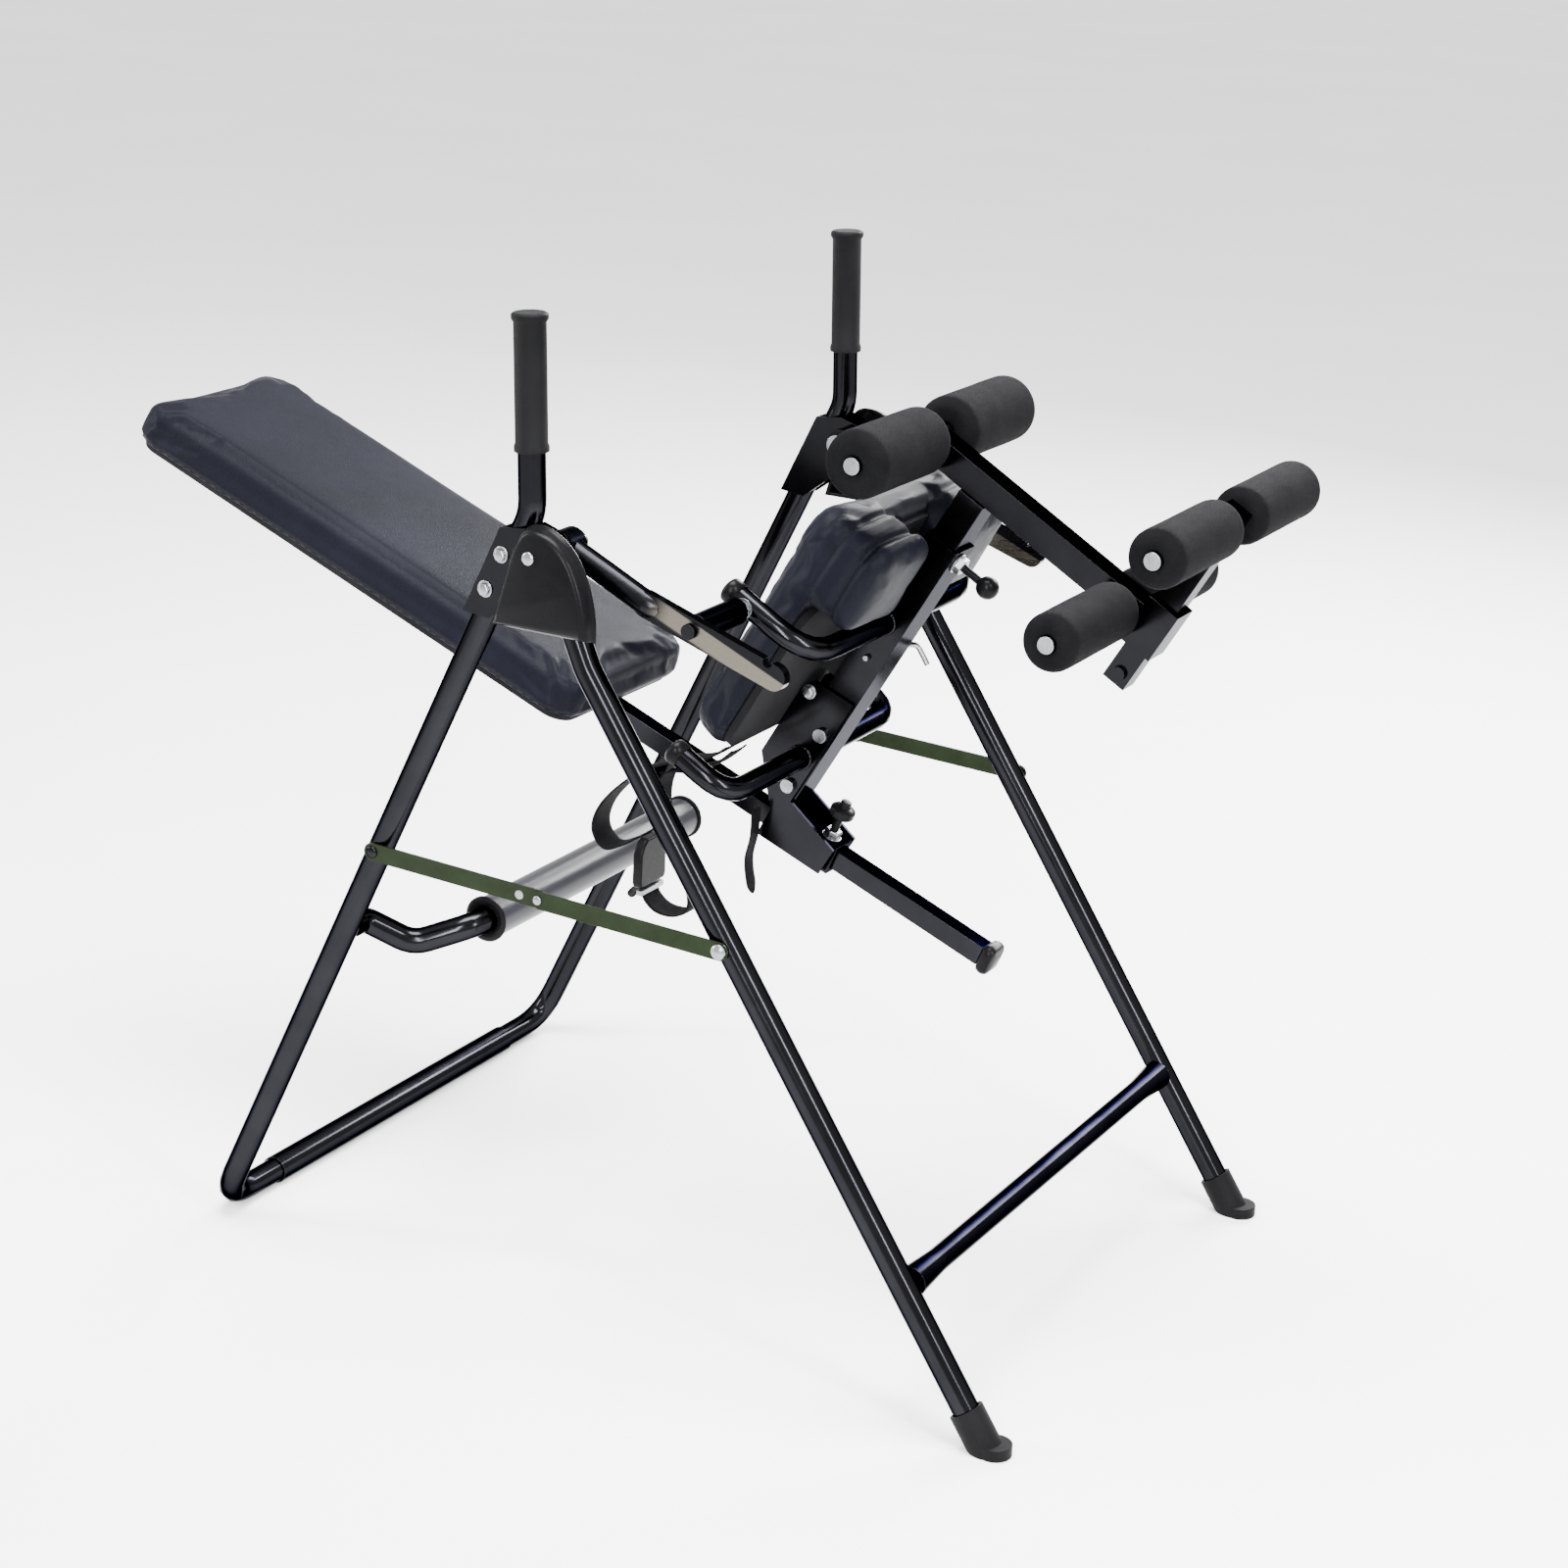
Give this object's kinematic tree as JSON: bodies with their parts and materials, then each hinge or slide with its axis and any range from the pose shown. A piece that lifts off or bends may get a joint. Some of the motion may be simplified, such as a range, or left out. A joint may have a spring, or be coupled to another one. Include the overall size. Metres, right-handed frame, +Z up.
{
  "type": "inversion table",
  "caption": "Folding A-frame with a seat and padded backrest that swing back together on two arms, an extending leg post and foam ankle rollers.",
  "frame": {"origin": "on the floor, under the middle of the overall box", "axes": "+X towards the user's feet, +Y towards the user's left, +Z up"},
  "size_m": [1.485, 0.8146, 1.2087],
  "materials": {
    "black_paint": "gloss powder coat over steel tube",
    "plated_steel": "zinc-plated fasteners",
    "zinc_strip": "plated flat strip",
    "black_rubber": "moulded matt rubber",
    "black_plastic": "moulded, fine texture",
    "grey_plastic": "smooth extruded sleeve",
    "black_vinyl": "grained upholstery vinyl over foam",
    "board_cloth": "plywood under a black non-woven cloth",
    "black_foam": "closed-cell foam",
    "webbing": "woven polyester webbing"
  },
  "bodies": {
    "rear_frame": {"rear_leg_right": "black_paint", "hinge_bracket_right": "black_paint", "hinge_cover_right": "black_plastic", "handle_grip_right": "black_rubber", "pivot_bolt_right": "plated_steel", "rear_leg_left": "black_paint", "hinge_bracket_left": "black_paint", "hinge_cover_left": "black_plastic", "handle_grip_left": "black_rubber", "pivot_bolt_left": "plated_steel", "floor_bar": "black_paint", "stop_tube": "black_paint"},
    "front_frame": {"front_leg_right": "black_paint", "front_boot_right": "black_rubber", "link_bolt_right": "plated_steel", "front_leg_left": "black_paint", "front_boot_left": "black_rubber", "link_bolt_left": "plated_steel", "front_crossbar": "black_paint"},
    "rear_link_right": {"link_rear_right": "zinc_strip"},
    "rear_link_left": {"link_rear_left": "zinc_strip"},
    "front_link_right": {"link_front_right": "zinc_strip"},
    "front_link_left": {"link_front_left": "zinc_strip"},
    "stop_sleeve": {"stop_roller": "grey_plastic"},
    "carriage": {"swing_arm_right": "black_paint", "arm_bolt_right": "black_paint", "upper_cradle_right": "black_paint", "lower_cradle_right": "black_paint", "gusset_right": "black_paint", "swing_arm_left": "black_paint", "arm_bolt_left": "black_paint", "upper_cradle_left": "black_paint", "lower_cradle_left": "black_paint", "gusset_left": "black_paint", "gusset_bolt_1": "plated_steel", "gusset_bolt_2": "plated_steel", "seat_beam": "black_paint", "seat_board": "board_cloth", "seat_pad": "black_vinyl", "spine_sleeve": "black_paint", "lap_belt": "webbing"},
    "height_knob": {"height_pin": "black_plastic"},
    "leg_knob": {"leg_pin": "black_plastic"},
    "lock_wire": {"lock_pin": "plated_steel"},
    "backrest": {"spine_tube": "black_paint", "spine_cap": "black_plastic", "back_board": "board_cloth", "back_pad": "black_vinyl"},
    "leg_slider": {"leg_tube": "black_paint", "leg_post": "black_paint", "knee_shaft": "plated_steel", "rear_ankle_shaft": "plated_steel"},
    "ankle_clamp": {"ankle_bar": "black_paint", "front_ankle_shaft": "plated_steel"},
    "knee_foam_right": {"knee_roller_right": "black_foam"},
    "knee_foam_left": {"knee_roller_left": "black_foam"},
    "rear_ankle_foam_right": {"rear_ankle_roller_right": "black_foam"},
    "rear_ankle_foam_left": {"rear_ankle_roller_left": "black_foam"},
    "front_ankle_foam_right": {"front_ankle_roller_right": "black_foam"},
    "front_ankle_foam_left": {"front_ankle_roller_left": "black_foam"}
  },
  "joints": [
    {"name": "inversion_swing", "type": "hinge", "parent": "rear_frame", "child": "carriage", "pos_m": [0.05072, 0, 0.943], "axis": [0, -1, 0], "range_deg": [-42, 50]},
    {"name": "frame_fold", "type": "hinge", "parent": "rear_frame", "child": "front_frame", "pos_m": [0.05072, 0, 0.943], "axis": [0, 1, 0], "range_deg": [0, 45]},
    {"name": "rear_link_hinge_right", "type": "hinge", "parent": "rear_frame", "child": "rear_link_right", "pos_m": [-0.1765, -0.384, 0.544], "axis": [0, -1, 0], "range_deg": [0, 45]},
    {"name": "front_link_hinge_right", "type": "hinge", "parent": "front_frame", "child": "front_link_right", "pos_m": [0.3001, -0.387, 0.528], "axis": [0, 1, 0], "range_deg": [0, 61]},
    {"name": "rear_link_hinge_left", "type": "hinge", "parent": "rear_frame", "child": "rear_link_left", "pos_m": [-0.1765, 0.384, 0.544], "axis": [0, -1, 0], "range_deg": [0, 45]},
    {"name": "front_link_hinge_left", "type": "hinge", "parent": "front_frame", "child": "front_link_left", "pos_m": [0.3001, 0.387, 0.528], "axis": [0, 1, 0], "range_deg": [0, 61]},
    {"name": "stop_sleeve_spin", "type": "hinge", "parent": "rear_frame", "child": "stop_sleeve", "pos_m": [-0.11628, 0, 0.425], "axis": [0, 1, 0], "continuous": true},
    {"name": "backrest_slide", "type": "slide", "parent": "carriage", "child": "backrest", "axis": [-0.9304, 0, 0.3665], "range_m": [-0.04, 0.12]},
    {"name": "leg_slide", "type": "slide", "parent": "carriage", "child": "leg_slider", "axis": [0.5, 0, 0.866], "range_m": [0, 0.1]},
    {"name": "ankle_clamp_slide", "type": "slide", "parent": "leg_slider", "child": "ankle_clamp", "axis": [0.5, 0, 0.866], "range_m": [-0.04, 0.025]},
    {"name": "height_knob_pull", "type": "slide", "parent": "carriage", "child": "height_knob", "axis": [0.3665, 0, 0.9304], "range_m": [0, 0.012], "stiffness_N_per_m": 800, "springref_m": -0.01},
    {"name": "leg_knob_pull", "type": "slide", "parent": "carriage", "child": "leg_knob", "axis": [0.866, 0, -0.5], "range_m": [0, 0.012], "stiffness_N_per_m": 800, "springref_m": -0.01},
    {"name": "lock_wire_pull", "type": "slide", "parent": "carriage", "child": "lock_wire", "axis": [0, 1, 0], "range_m": [0, 0.055]},
    {"name": "knee_foam_spin_right", "type": "hinge", "parent": "leg_slider", "child": "knee_foam_right", "pos_m": [0.34005, 0, 1.05282], "axis": [0, 1, 0], "continuous": true},
    {"name": "knee_foam_spin_left", "type": "hinge", "parent": "leg_slider", "child": "knee_foam_left", "pos_m": [0.34005, 0, 1.05282], "axis": [0, 1, 0], "continuous": true},
    {"name": "rear_ankle_foam_spin_right", "type": "hinge", "parent": "leg_slider", "child": "rear_ankle_foam_right", "pos_m": [0.59263, 0, 0.89429], "axis": [0, 1, 0], "continuous": true},
    {"name": "rear_ankle_foam_spin_left", "type": "hinge", "parent": "leg_slider", "child": "rear_ankle_foam_left", "pos_m": [0.59263, 0, 0.89429], "axis": [0, 1, 0], "continuous": true},
    {"name": "front_ankle_foam_spin_right", "type": "hinge", "parent": "ankle_clamp", "child": "front_ankle_foam_right", "pos_m": [0.70873, 0, 1.00739], "axis": [0, 1, 0], "continuous": true},
    {"name": "front_ankle_foam_spin_left", "type": "hinge", "parent": "ankle_clamp", "child": "front_ankle_foam_left", "pos_m": [0.70873, 0, 1.00739], "axis": [0, 1, 0], "continuous": true}
  ],
  "couplings": [
    {"joint": "rear_link_hinge_right", "follows": "frame_fold", "ratio": 0.9612},
    {"joint": "front_link_hinge_right", "follows": "frame_fold", "ratio": 1.3307},
    {"joint": "rear_link_hinge_left", "follows": "frame_fold", "ratio": 0.9612},
    {"joint": "front_link_hinge_left", "follows": "frame_fold", "ratio": 1.3307}
  ]
}
